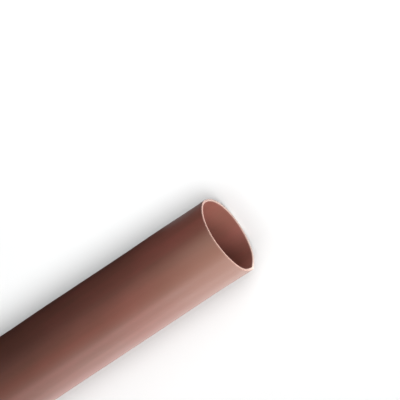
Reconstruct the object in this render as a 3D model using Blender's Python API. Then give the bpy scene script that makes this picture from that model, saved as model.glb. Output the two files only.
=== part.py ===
"""Heat shrink tube, 9.5 mm size, cut to a 152 mm length and lying along X.

Metres, +Z up. The origin is on the floor, under the middle of the tube.
Such tube is wound flat on its reel and opened again, so a soft fold is left along each side, at +Y and -Y.
The folds fade into a nearly round wall along the length, and are pinched sharper at both cut ends.
"""

import bmesh
import bpy
import numpy as np

# Driving sizes
LENGTH = 0.152
OUTER_WIDTH = 0.01008
OUTER_HEIGHT = 0.01004
WALL = 0.00028

# The folds at -Y and +Y: how far the bore is pinched there, where 0 is a plain ellipse,
# and how far each stands out at the cuts
FOLDS_ALONG_LENGTH = (0.25, 0.10)
FOLDS_AT_CUT = (0.91, 0.22)
FLARES_AT_CUT = (0.00011, 0.00001)
FOLD_SHARPNESS = 36.0
PINCH_LENGTH = 0.010

# How finely the solid is divided. The facets touch the true outline at their middles, so that the level ones
# underneath and on top lie at the stated height, and the upright ones at the stated width.
SIDES = 48
FACET_MIDDLE = np.cos(np.pi / SIDES)
RINGS_PER_PINCH = 5

# The plastic: a red-brown polyolefin with a satin skin
PLASTIC_COLOUR = (0.26, 0.078, 0.050, 1.0)
PLASTIC_ROUGHNESS = 0.45


def remove_everything():
    """Clear the startup objects."""
    for thing in list(bpy.data.objects):
        bpy.data.objects.remove(thing, do_unlink=True)


def plastic():
    """The tube's material."""
    material = bpy.data.materials.new("brown_polyolefin")
    material.use_nodes = True
    shader = material.node_tree.nodes["Principled BSDF"]
    shader.inputs["Base Color"].default_value = PLASTIC_COLOUR
    shader.inputs["Roughness"].default_value = PLASTIC_ROUGHNESS
    shader.inputs["Metallic"].default_value = 0.0
    return material


def stations():
    """Places along X of the rings: close together in each end's pinch, with none needed between."""
    steps = np.linspace(0.0, PINCH_LENGTH, RINGS_PER_PINCH + 1)
    near = -LENGTH / 2 + steps
    return np.concatenate([near, -near[::-1]])


def pinch_at(x):
    """0 along the length, rising as a smooth step to 1 at either cut end."""
    depth = np.clip((LENGTH / 2 - abs(x)) / PINCH_LENGTH, 0.0, 1.0)
    return 1.0 - depth * depth * (3.0 - 2.0 * depth)


def outline(x, outwards):
    """
    The bore's outline at station x, moved outwards by a distance, as rows of (y, z) about the tube's axis.

    The bore is an ellipse whose height is drawn in near its two ends: y = a cos t, z = b sin t (1 - pinch),
    where each side's pinch is its fold times ((1 + toward) / 2) ** sharpness, toward being cos t or -cos t.
    Half the difference between the two flares is taken off y, so that the tube's box stays centred.
    """
    pinch = pinch_at(x)
    folds = np.array(FOLDS_ALONG_LENGTH) * (1.0 - pinch) + np.array(FOLDS_AT_CUT) * pinch
    half_width = (OUTER_WIDTH / 2 - WALL) / FACET_MIDDLE
    half_height = (OUTER_HEIGHT / 2 - WALL) / FACET_MIDDLE
    turn = 2.0 * np.pi * (np.arange(SIDES) + 0.5) / SIDES
    drawn_in = folds[0] * ((1.0 - np.cos(turn)) / 2.0) ** FOLD_SHARPNESS
    drawn_in += folds[1] * ((1.0 + np.cos(turn)) / 2.0) ** FOLD_SHARPNESS
    flare = np.where(np.cos(turn) < 0.0, FLARES_AT_CUT[0], FLARES_AT_CUT[1])
    y = (half_width + flare * pinch) * np.cos(turn) + (FLARES_AT_CUT[0] - FLARES_AT_CUT[1]) / 2
    z = half_height * np.sin(turn) * (1.0 - drawn_in)
    along_y = np.roll(y, -1) - np.roll(y, 1)
    along_z = np.roll(z, -1) - np.roll(z, 1)
    step = np.hypot(along_y, along_z)
    return np.column_stack([y + outwards * along_z / step, z - outwards * along_y / step])


def tube_mesh():
    """
    Loft the outside from one cut to the other and the bore back again, as one closed loop of rings.

    The axis is lifted so that the lowest facet, a level one, lies on z = 0.
    """
    places = stations()
    rings = [(x, WALL) for x in places] + [(x, 0.0) for x in places[::-1]]
    axis_height = -outline(0.0, WALL)[:, 1].min()
    mesh = bpy.data.meshes.new("heat_shrink_tube")
    work = bmesh.new()
    loops = []
    for x, outwards in rings:
        points = outline(x, outwards)
        loops.append([work.verts.new((x, y, z + axis_height)) for y, z in points])
    for this, after in zip(loops, loops[1:] + loops[:1]):
        for side in range(SIDES):
            ahead = (side + 1) % SIDES
            work.faces.new((this[side], after[side], after[ahead], this[ahead]))
    bmesh.ops.recalc_face_normals(work, faces=work.faces)
    work.to_mesh(mesh)
    work.free()
    return mesh


remove_everything()
collection = bpy.data.collections.new("heat_shrink_tube")
bpy.context.scene.collection.children.link(collection)
tube = bpy.data.objects.new("heat_shrink_tube", tube_mesh())
tube.data.materials.append(plastic())
tube.data.shade_smooth()
tube.data.set_sharp_from_angle(angle=np.radians(40.0))
collection.objects.link(tube)
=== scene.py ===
"""Heat shrink tube: the finished look of one cut length of red-brown tube, lying on a white surface."""

import math

import bpy
import numpy as np
from mathutils import Matrix, Vector


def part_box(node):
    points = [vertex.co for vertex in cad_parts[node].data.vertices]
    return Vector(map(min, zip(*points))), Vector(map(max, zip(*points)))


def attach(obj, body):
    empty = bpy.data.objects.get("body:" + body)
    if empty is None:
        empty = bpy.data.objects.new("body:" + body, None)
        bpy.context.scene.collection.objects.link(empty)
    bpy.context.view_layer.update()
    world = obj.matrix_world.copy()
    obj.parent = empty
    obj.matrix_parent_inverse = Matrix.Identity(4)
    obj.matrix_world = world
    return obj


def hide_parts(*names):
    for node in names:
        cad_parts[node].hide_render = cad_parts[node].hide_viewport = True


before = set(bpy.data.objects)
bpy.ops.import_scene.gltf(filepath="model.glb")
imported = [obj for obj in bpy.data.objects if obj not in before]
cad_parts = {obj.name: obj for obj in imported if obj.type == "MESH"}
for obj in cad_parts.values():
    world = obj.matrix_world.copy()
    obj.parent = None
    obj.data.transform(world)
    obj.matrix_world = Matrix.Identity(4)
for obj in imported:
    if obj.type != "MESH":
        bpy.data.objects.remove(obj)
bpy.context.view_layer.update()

# The tube
# One extruded and expanded length of thin polyolefin tube, wound flat on its reel and opened again, so that
# a soft fold is left along each side. The cutter pinches the folds sharper at both square-cut ends.

TUBE_LOW, TUBE_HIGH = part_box("heat_shrink_tube")
LENGTH = TUBE_HIGH.x - TUBE_LOW.x
OUTER_WIDTH = 0.01008
OUTER_HEIGHT = TUBE_HIGH.z - TUBE_LOW.z
AXIS_HEIGHT = (TUBE_LOW.z + TUBE_HIGH.z) / 2
WALL = 0.00028
FOLDS_ALONG_LENGTH = (0.25, 0.10)
FOLDS_AT_CUT = (0.91, 0.22)
FLARES_AT_CUT = (0.00011, 0.00001)
FOLD_SHARPNESS = 36.0
PINCH_LENGTH = 0.010

# How far the wall wanders from true: slow dents left by the reel, in a few waves of falling depth, and fine
# lines left by the die
DENT_DEPTH = 0.000014
DENT_SPACING = 0.017
DENT_WAVES = 4
DIE_LINE_DEPTH = 0.0000008
DIE_LINES_AROUND = (17, 23, 29, 37)
UNEVENNESS_SEED = 4

# The blade came down leaning a little and squeezed the tube as it went, so the cut isn't quite flat
CUT_LEAN = 0.00006
CUT_WANDER = 0.000067
CUT_WANDER_TURN = math.radians(57.0)
CUT_EDGE_RADIUS = 0.00004

# How white the cut is drawn at its sides, how much more white is painted underneath and less on top as
# painted light from the surface below, how much more at the sharper pinch, and how far all this reaches
# from the cut
WHITE_AT_SIDES = 0.24
PAINTED_LIGHT_TO_BOTTOM = 0.15
WHITE_AT_PINCH = 0.40
WHITE_REACH = 0.00015

# How much the folds have paled, along the length and at the cuts
PALED_ALONG_LENGTH = 0.04
PALED_AT_CUT = 0.12

# How strong a painted sheen is on the upper side of the outside that faces the lamps at -Y, standing for
# their soft reflection: along the length and at the cuts, the turn of that side's middle, how sharply the
# painted sheen stops at its edges, and how far in from the cuts it is stronger
PAINTED_SHEEN_ALONG_LENGTH = 0.25
PAINTED_SHEEN_AT_CUT = 0.90
PAINTED_SHEEN_MIDDLE = math.radians(150.0)
PAINTED_SHEEN_EDGE_SHARPNESS = 3.0
PAINTED_SHEEN_REACH = 0.016

# The plastic's colours: the pigment's browner and redder shades, the paler colour of a painted sheen, and
# those of folded and cut plastic
PIGMENT_SHADES = ("#6D463B", "#814940")
PAINTED_SHEEN_COLOUR = "#785548"
PALED_COLOUR = "#B59086"
WHITE_COLOUR = "#DACBBF"

# The plastic's pigment streaks and clouds, the white's patches, the skin's pebble and drawn lines, and the
# middle stretch of a noise, where nearly all of it lies
STREAK_LENGTH = 0.030
STREAK_WIDTH = 0.0012
STREAK_SHARE = 0.6
CLOUD_SIZE = 0.005
PATCH_SIZE = 0.00012
PATCH_STRENGTHS = (0.75, 1.25)
PEBBLE_SIZE = 0.0003
PEBBLE_HEIGHT = 0.000003
LINE_LENGTH = 0.020
LINE_WIDTH = 0.0002
LINE_HEIGHT = 0.000002
NOISE_MIDDLE = (0.3, 0.7)

# How dull the skin is between its clouds, how dull the cut is, and how much white makes it quite that dull
SKIN_ROUGHNESS = (0.42, 0.48)
CUT_ROUGHNESS = 0.65
WHITE_WHEN_DULL = 0.1
PLASTIC_IOR = 1.5

# How finely the mesh is divided: around the tube, along it, over each eased corner and across each cut
AROUND = 300
STATIONS = 111
CORNER_STEPS = 3
CUT_STEPS = 5


def smooth_step(value):
    """0 below 0, 1 above 1, and 3 v^2 - 2 v^3 between."""
    value = np.clip(value, 0.0, 1.0)
    return value * value * (3.0 - 2.0 * value)


def near_a_cut(x, reach):
    """1 at either cut end, falling as a smooth step to 0 at a reach from it."""
    return 1.0 - smooth_step((LENGTH / 2 - abs(x)) / reach)


def growing(x, reach, along, at_cut):
    """A measure that grows from its value along the length to its value at the cuts."""
    return along + (at_cut - along) * near_a_cut(x, reach)


def fold_shape(turn):
    """Bumps of height 1 at the folds at -Y and +Y: ((1 -+ cos t) / 2) ** sharpness."""
    toward = np.cos(turn)
    return ((1.0 - toward) / 2.0) ** FOLD_SHARPNESS, ((1.0 + toward) / 2.0) ** FOLD_SHARPNESS


def bore_outline(x, turn):
    """
    The bore's (y, z) about the tube's axis, for grids of stations x and angles turn.

    It is an ellipse whose height is drawn in at its two ends: y = a cos t, z = b sin t (1 - pinch), where
    each side's pinch is its fold times that fold's bump. The folds grow from their size along the length to
    their size at the cut as a smooth step, and at the cut each stands out by its flare.
    """
    pinch = 0.0
    for bump, along, at_cut in zip(fold_shape(turn), FOLDS_ALONG_LENGTH, FOLDS_AT_CUT):
        pinch = pinch + growing(x, PINCH_LENGTH, along, at_cut) * bump
    flare = np.where(np.cos(turn) < 0.0, FLARES_AT_CUT[0], FLARES_AT_CUT[1]) * near_a_cut(x, PINCH_LENGTH)
    y = (OUTER_WIDTH / 2 - WALL + flare) * np.cos(turn) + (FLARES_AT_CUT[0] - FLARES_AT_CUT[1]) / 2
    z = (OUTER_HEIGHT / 2 - WALL) * np.sin(turn) * (1.0 - pinch)
    return y, z


def unevenness(x, turn):
    """
    How far the whole wall lies out from its outline.

    Dents: the sum over the waves k = 1, 2, ... of depth / k * cos(2 pi x sqrt(k) / spacing + k t + phase_k).
    Die lines: the sum over each number of lines n of depth * cos(n t + phase_n), the same along the tube.
    """
    count = DENT_WAVES + len(DIE_LINES_AROUND)
    phase = np.random.default_rng(UNEVENNESS_SEED).uniform(0.0, 2.0 * np.pi, count)
    out = 0.0
    for k in range(1, DENT_WAVES + 1):
        along = 2.0 * np.pi * x * math.sqrt(k) / DENT_SPACING
        out = out + DENT_DEPTH / k * np.cos(along + k * turn + phase[k - 1])
    for lines, start in zip(DIE_LINES_AROUND, phase[DENT_WAVES:]):
        out = out + DIE_LINE_DEPTH * np.cos(lines * turn + start)
    return out


def wall_profile():
    """
    The wall's closed outline in its own thickness, as stations x and distances outwards from the bore.

    It runs along the outside from the far cut to the near one, over the near cut's two eased corners, back
    along the bore, and over the far cut's corners. Stations crowd towards the cuts, where the folds change.
    """
    steps = np.linspace(0.0, 1.0, STATIONS)
    run = (LENGTH / 2 - CUT_EDGE_RADIUS) * np.sin(np.pi / 2 * (2.0 * steps - 1.0))
    corner = np.linspace(0.0, np.pi / 2, CORNER_STEPS + 2)[1:-1]
    eased_x = LENGTH / 2 - CUT_EDGE_RADIUS * (1.0 - np.sin(corner))
    eased_out = WALL - CUT_EDGE_RADIUS * (1.0 - np.cos(corner))
    cut_out = np.linspace(WALL - CUT_EDGE_RADIUS, CUT_EDGE_RADIUS, CUT_STEPS)
    half_x = np.concatenate([run, eased_x, np.full(CUT_STEPS, LENGTH / 2), eased_x[::-1]])
    half_out = np.concatenate([np.full(STATIONS, WALL), eased_out, cut_out, (WALL - eased_out)[::-1]])
    return np.concatenate([half_x, -half_x]), np.concatenate([half_out, WALL - half_out])


def tube_grid(x, outwards, turn):
    """
    The tube's surface as a grid: the wall's closed outline one way, the turn about the axis the other.

    Each point of the bore's outline is moved outwards along that outline's normal by the profile's distance
    and the unevenness there. The cuts lie off square by -lean * sin t - wander * cos(2t - wander's turn),
    fading to nothing where the pinch begins.
    """
    y, z = bore_outline(x, turn)
    along_y = np.roll(y, -1, axis=1) - np.roll(y, 1, axis=1)
    along_z = np.roll(z, -1, axis=1) - np.roll(z, 1, axis=1)
    step = np.hypot(along_y, along_z)
    out = outwards + unevenness(x, turn)
    y = y + out * along_z / step
    z = z - out * along_y / step
    off_square = -CUT_LEAN * np.sin(turn) - CUT_WANDER * np.cos(2.0 * turn - CUT_WANDER_TURN)
    return np.stack([x + off_square * near_a_cut(x, PINCH_LENGTH), y, z + AXIS_HEIGHT], axis=-1)


def cut_white_and_painted_light(x, turn):
    """
    How white the cut is, from 0 to 1: drawn white by the cutting, with painted light from the surface below
    making it whiter underneath and less white on top.

    It is sides - to_bottom * sin t + at_pinch * the fold's bump at -Y, fading over its reach from the cuts.
    """
    # The to_bottom term is painted light: the cut is whiter underneath, where the surface below lights it
    at_cut = WHITE_AT_SIDES - PAINTED_LIGHT_TO_BOTTOM * np.sin(turn) + WHITE_AT_PINCH * fold_shape(turn)[0]
    return at_cut * near_a_cut(x, WHITE_REACH)


def paled_fold(x, turn):
    """How pale the folds have gone: their bumps times a strength that grows from the length to the cuts."""
    return growing(x, PINCH_LENGTH, PALED_ALONG_LENGTH, PALED_AT_CUT) * sum(fold_shape(turn))


def painted_sheen_side(x, outwards, turn):
    """
    How strong the painted sheen is: a paler, less red colour standing for the lamps' soft reflection on one
    side, from 0 at the bore to at most 1 outside.

    It is strength * smooth step of (0.5 + sharpness * cos(t - middle)) * outwards / wall, where the strength
    grows from the length to the cuts.
    """
    side = smooth_step(0.5 + PAINTED_SHEEN_EDGE_SHARPNESS * np.cos(turn - PAINTED_SHEEN_MIDDLE))
    return growing(x, PAINTED_SHEEN_REACH, PAINTED_SHEEN_ALONG_LENGTH, PAINTED_SHEEN_AT_CUT) * side * outwards / WALL


def set_attribute(thing, name, values):
    """Store one number for each of a mesh's points."""
    attribute = thing.data.attributes.new(name, "FLOAT", "POINT")
    attribute.data.foreach_set("value", values.ravel().astype(np.float32))


def closed_grid_mesh(name, points):
    """A mesh of quads over a grid of points that wraps round both ways."""
    rows, columns = points.shape[:2]
    index = np.arange(rows * columns).reshape(rows, columns)
    below, right = np.roll(index, -1, axis=0), np.roll(index, -1, axis=1)
    quads = np.stack([index, right, np.roll(below, -1, axis=1), below], axis=-1).reshape(-1, 4)
    mesh = bpy.data.meshes.new(name)
    mesh.from_pydata(points.reshape(-1, 3), [], quads)
    mesh.shade_smooth()
    return mesh


def linear(colour):
    """An sRGB hex colour as linear (r, g, b, 1)."""
    parts = np.array([int(colour[i:i + 2], 16) for i in (1, 3, 5)]) / 255.0
    low, high = parts / 12.92, ((parts + 0.055) / 1.055) ** 2.4
    return (*np.where(parts <= 0.04045, low, high).tolist(), 1.0)


def add_node(tree, kind, settings=None, inputs=None):
    """A node with its settings, and each input, by name or number, set to a value or linked to an output."""
    node = tree.nodes.new(kind)
    for name, value in (settings or {}).items():
        setattr(node, name, value)
    for key, value in (inputs or {}).items():
        if isinstance(value, bpy.types.NodeSocket):
            tree.links.new(value, node.inputs[key])
        else:
            node.inputs[key].default_value = value
    return node


def noise(tree, place, along, around, detail):
    """Noise from 0 to 1, with grains of one length along the tube and another across it."""
    stretch = {"Vector": place, "Scale": (1.0 / along, 1.0 / around, 1.0 / around)}
    where = add_node(tree, "ShaderNodeMapping", {"vector_type": "POINT"}, stretch)
    grains = {"Vector": where.outputs[0], "Scale": 1.0, "Detail": detail}
    return add_node(tree, "ShaderNodeTexNoise", None, grains).outputs[0]


def stretched(tree, value, old_low, old_high, low, high):
    """A value with one range turned into another, and held inside it."""
    ends = {"Value": value, "From Min": old_low, "From Max": old_high, "To Min": low, "To Max": high}
    return add_node(tree, "ShaderNodeMapRange", None, ends).outputs[0]


def spread(tree, grains, low, high):
    """A noise with its middle stretch turned into a range of its own."""
    return stretched(tree, grains, *NOISE_MIDDLE, low, high)


def combined(tree, operation, first, second):
    """Two values added or multiplied."""
    return add_node(tree, "ShaderNodeMath", {"operation": operation}, {0: first, 1: second}).outputs[0]


def blended(tree, share, under, over):
    """A colour with a share of another over it. The node's colours are inputs 6 and 7 and output 2."""
    node = add_node(tree, "ShaderNodeMix", {"data_type": "RGBA"}, {0: share, 6: under, 7: over})
    return node.outputs[2]


def stored(tree, name):
    """The number that the mesh's points hold under a name."""
    return add_node(tree, "ShaderNodeAttribute", {"attribute_name": name}).outputs["Fac"]


def relief(tree, height, tallest, under=None):
    """A bumped normal, over another one where it is given."""
    inputs = {"Strength": 1.0, "Distance": tallest, "Height": height}
    if under:
        inputs["Normal"] = under
    return add_node(tree, "ShaderNodeBump", None, inputs).outputs[0]


def satin_polyolefin():
    """
    Cross-linked polyolefin, extruded and expanded, coloured right through and never painted.

    The pigment is drawn out into faint streaks along the tube, with softer clouds in it. The die and the
    expansion leave a satin skin with a fine pebble and finer drawn lines, made a little coarser here than
    the real ones so that they show. A paler, less red colour on the side that faces the lamps is a painted
    sheen, and folding flat has paled the plastic a little along each fold. Where the cutter sheared it the
    plastic is drawn white in patches and left dull, and painted light from below makes the cut whiter
    underneath.
    """
    material = bpy.data.materials.new("extruded_satin_polyolefin")
    material.use_nodes = True
    tree = material.node_tree
    shader = tree.nodes["Principled BSDF"]
    place = add_node(tree, "ShaderNodeTexCoord").outputs["Object"]
    white, folded, painted_sheen = (stored(tree, name) for name in ("cut_white_and_painted_light", "folded", "painted_sheen"))
    streaks = noise(tree, place, STREAK_LENGTH, STREAK_WIDTH, detail=3.0)
    clouds = noise(tree, place, CLOUD_SIZE, CLOUD_SIZE, detail=2.0)
    patches = noise(tree, place, PATCH_SIZE, PATCH_SIZE, detail=2.0)
    pebble = noise(tree, place, PEBBLE_SIZE, PEBBLE_SIZE, detail=1.0)
    lines = noise(tree, place, LINE_LENGTH, LINE_WIDTH, detail=2.0)

    streaky = spread(tree, streaks, 0.0, STREAK_SHARE)
    cloudy = spread(tree, clouds, 0.0, 1.0 - STREAK_SHARE)
    brown, red = (linear(shade) for shade in PIGMENT_SHADES)
    colour = blended(tree, combined(tree, "ADD", streaky, cloudy), brown, red)
    # Painted sheen: a paler colour on the side that faces the lamps, standing for their soft reflection
    colour = blended(tree, painted_sheen, colour, linear(PAINTED_SHEEN_COLOUR))
    colour = blended(tree, folded, colour, linear(PALED_COLOUR))
    patchy = combined(tree, "MULTIPLY", white, spread(tree, patches, *PATCH_STRENGTHS))
    colour = blended(tree, patchy, colour, linear(WHITE_COLOUR))
    tree.links.new(colour, shader.inputs["Base Color"])

    skin = spread(tree, clouds, *SKIN_ROUGHNESS)
    dulled = stretched(tree, white, 0.0, WHITE_WHEN_DULL, skin, CUT_ROUGHNESS)
    tree.links.new(dulled, shader.inputs["Roughness"])

    drawn_lines = relief(tree, lines, LINE_HEIGHT)
    tree.links.new(relief(tree, pebble, PEBBLE_HEIGHT, drawn_lines), shader.inputs["Normal"])
    shader.inputs["IOR"].default_value = PLASTIC_IOR
    return material


profile_x, profile_out = wall_profile()
around = 2.0 * np.pi * np.arange(AROUND) / AROUND
stations, turns = np.meshgrid(profile_x, around, indexing="ij")
depths = profile_out[:, None]
tube = bpy.data.objects.new("tube_wall", closed_grid_mesh("tube_wall", tube_grid(stations, depths, turns)))
# How white the cut is: drawn white, with painted light from below making it whiter underneath
set_attribute(tube, "cut_white_and_painted_light", cut_white_and_painted_light(stations, turns))
set_attribute(tube, "folded", paled_fold(stations, turns))
# The painted sheen's strength, on the side that faces the lamps
set_attribute(tube, "painted_sheen", painted_sheen_side(stations, depths, turns))
bpy.context.scene.collection.objects.link(tube)
tube.data.materials.append(satin_polyolefin())
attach(tube, "root")
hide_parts("heat_shrink_tube")

# The surface that the tube lies on
# A plain white sweep, matt, that reaches far past what the picture shows.

FLOOR_REACH = 8.0
FLOOR_COLOUR = "#F1F2F2"


def white_floor():
    """Matt white card."""
    material = bpy.data.materials.new("matt_white_card")
    material.use_nodes = True
    shader = material.node_tree.nodes["Principled BSDF"]
    shader.inputs["Base Color"].default_value = linear(FLOOR_COLOUR)
    shader.inputs["Roughness"].default_value = 1.0
    shader.inputs["Specular IOR Level"].default_value = 0.0
    return material


corners = np.array([[-1.0, -1.0, 0.0], [1.0, -1.0, 0.0], [1.0, 1.0, 0.0], [-1.0, 1.0, 0.0]]) * FLOOR_REACH
floor_mesh = bpy.data.meshes.new("floor")
floor_mesh.from_pydata(corners, [], [(0, 1, 2, 3)])
floor_mesh.materials.append(white_floor())
floor = bpy.data.objects.new("floor", floor_mesh)
bpy.context.scene.collection.objects.link(floor)

# The camera
# It looks down steeply on the near cut from a little beyond it, and from far off, so that the edges look
# parallel. The picture gives the mouth's place, the tube's width, how its axis rises to the right, how round
# its mouth looks, and how far the camera has gone round the axis from straight above.

PICTURE_PIXELS = 400
MOUTH_RIGHT_PIXELS = 28.6
MOUTH_DOWN_PIXELS = 35.1
TUBE_WIDTH_PIXELS = 84.3
AXIS_RISE = math.radians(33.7)
MOUTH_ROUNDNESS = 0.346
AXIS_OFF_SIGHT = math.acos(MOUTH_ROUNDNESS)
ROUND_THE_AXIS = math.radians(9.8)
HALF_VIEW = math.radians(1.0)
SENSOR_WIDTH = 36.0
FARTHEST_SEEN = 100.0

to_camera = Vector((
    math.cos(AXIS_OFF_SIGHT),
    math.sin(AXIS_OFF_SIGHT) * math.sin(ROUND_THE_AXIS),
    math.sin(AXIS_OFF_SIGHT) * math.cos(ROUND_THE_AXIS),
))
axis_in_picture = (Vector((1.0, 0.0, 0.0)) - to_camera * to_camera.x).normalized()
across_in_picture = axis_in_picture.cross(to_camera)
right = math.cos(AXIS_RISE) * axis_in_picture + math.sin(AXIS_RISE) * across_in_picture
up = math.sin(AXIS_RISE) * axis_in_picture - math.cos(AXIS_RISE) * across_in_picture
metres_per_pixel = OUTER_WIDTH / TUBE_WIDTH_PIXELS
mouth = Vector((LENGTH / 2, 0.0, AXIS_HEIGHT))
aim = mouth - metres_per_pixel * (MOUTH_RIGHT_PIXELS * right - MOUTH_DOWN_PIXELS * up)
distance = PICTURE_PIXELS / 2 * metres_per_pixel / math.tan(HALF_VIEW)

camera_data = bpy.data.cameras.new("camera")
camera_data.sensor_width = SENSOR_WIDTH
camera_data.lens = SENSOR_WIDTH / 2 / math.tan(HALF_VIEW)
camera_data.clip_end = FARTHEST_SEEN
camera = bpy.data.objects.new("camera", camera_data)
bpy.context.scene.collection.objects.link(camera)
camera.matrix_world = Matrix((
    (right.x, up.x, to_camera.x, aim.x + distance * to_camera.x),
    (right.y, up.y, to_camera.y, aim.y + distance * to_camera.y),
    (right.z, up.z, to_camera.z, aim.z + distance * to_camera.z),
    (0.0, 0.0, 0.0, 1.0),
))
bpy.context.scene.camera = camera

# The light
# Soft lamps light the tube alone: to its lower right in the picture, over its mouth and at its far end, with
# low ones for the light that a pale surface sends up. The picture's white is clipped, so the surface has
# brighter lights of its own, which leave only the soft shade beside the tube, and a pale grey lies past it.

OVERHEAD_STRENGTH = 2.2
FRONT_STRENGTH = 0.95
PALE_BEYOND = 0.85
DOWN, UP = (0.0, 0.0, -1.0), (0.0, 0.0, 1.0)
ALONG, ACROSS = (1.0, 0.0, 0.0), (0.0, 1.0, 0.0)


def lit_alone(piece):
    """A collection that limits a light to one piece."""
    collection = bpy.data.collections.new("only_" + piece.name)
    collection.objects.link(piece)
    return collection


def lamp_object(name, light, facing, receivers):
    """A lamp object that shines one way and lights only the receivers."""
    lamp = bpy.data.objects.new(name, light)
    bpy.context.scene.collection.objects.link(lamp)
    lamp.rotation_euler = (-Vector(facing)).to_track_quat("Z", "Y").to_euler()
    lamp.light_linking.receiver_collection = receivers
    return lamp


def soft_panel(name, place, facing, size, watts, receivers):
    """
    A soft light that is unseen itself, placed from the point of the floor under the mouth.

    Its size is a square's side or, for one that faces up or down, its length along X and its width along Y.
    """
    light = bpy.data.lights.new(name, "AREA")
    light.shape = "RECTANGLE"
    light.size, light.size_y = size if isinstance(size, tuple) else (size, size)
    light.energy = watts
    lamp = lamp_object(name, light, facing, receivers)
    lamp.location = Vector((LENGTH / 2, 0.0, 0.0)) + Vector(place)
    lamp.visible_camera = False


def wide_sun(name, azimuth, elevation, width, strength):
    """A distant light, some tens of degrees wide, that falls on the surface alone."""
    light = bpy.data.lights.new(name, "SUN")
    light.angle = math.radians(width)
    light.energy = strength
    azimuth, elevation = math.radians(azimuth), math.radians(elevation)
    level = math.cos(elevation)
    direction = Vector((level * math.cos(azimuth), level * math.sin(azimuth), math.sin(elevation)))
    lamp_object(name, light, -direction, only_floor)


only_tube = lit_alone(tube)
only_floor = lit_alone(floor)
soft_panel("side_window", (-0.060, -0.150, 0.030), ACROSS, 0.060, 0.085, only_tube)
soft_panel("front_window", (0.060, -0.150, 0.090), ACROSS, 0.060, 0.2747, only_tube)
soft_panel("side_overhead", (-0.060, -0.120, 0.120), DOWN, 0.060, 0.1286, only_tube)
soft_panel("front_right_lamp", (0.045, -0.045, 0.045), DOWN, 0.030, 0.090, only_tube)
soft_panel("mouth_lamp", (0.015, 0.015, 0.045), DOWN, 0.030, 0.0199, only_tube)
soft_panel("far_fill", (-0.150, 0.060, 0.030), ALONG, 0.060, 0.042, only_tube)
soft_panel("far_end_lamp", (-0.200, 0.0, 0.020), ALONG, 0.040, 0.030, only_tube)
soft_panel("far_overhead", (-0.130, 0.045, 0.060), DOWN, 0.060, 0.035, only_tube)
soft_panel("floor_light_beside", (-0.015, -0.025, 0.0005), UP, (0.060, 0.030), 0.0132, only_tube)
soft_panel("floor_light_along_the_side", (-0.076, -0.0082, 0.00003), UP, (0.152, 0.004), 0.0018, only_tube)
soft_panel("floor_light_behind", (-0.003, 0.0080, 0.00003), UP, (0.010, 0.004), 0.00006, only_tube)
soft_panel("floor_light_in_front", (0.030, 0.0, 0.0005), UP, 0.030, 0.05, only_tube)
soft_panel("floor_light_under_the_cut", (0.0022, 0.0, 0.00003), UP, (0.004, 0.014), 0.0004, only_tube)
wide_sun("overhead", azimuth=0.0, elevation=90.0, width=65.0, strength=OVERHEAD_STRENGTH)
wide_sun("front", azimuth=4.0, elevation=55.0, width=60.0, strength=FRONT_STRENGTH)
soft_panel("beyond_the_mouth", (0.090, 0.060, 0.100), DOWN, 0.080, 0.11, only_floor)

# The surface is too bright under its own lights to show in the tube or to light it
floor.visible_diffuse = False
floor.visible_glossy = False

# What lies past the surface is seen, but lights nothing
world = bpy.data.worlds.new("studio")
bpy.context.scene.world = world
world.use_nodes = True
air = world.node_tree
background = air.nodes["Background"]
background.inputs["Color"].default_value = linear("#FFFFFF")
seen = add_node(air, "ShaderNodeLightPath").outputs["Is Camera Ray"]
air.links.new(combined(air, "MULTIPLY", seen, PALE_BEYOND), background.inputs["Strength"])

bpy.context.scene.view_settings.view_transform = "Standard"
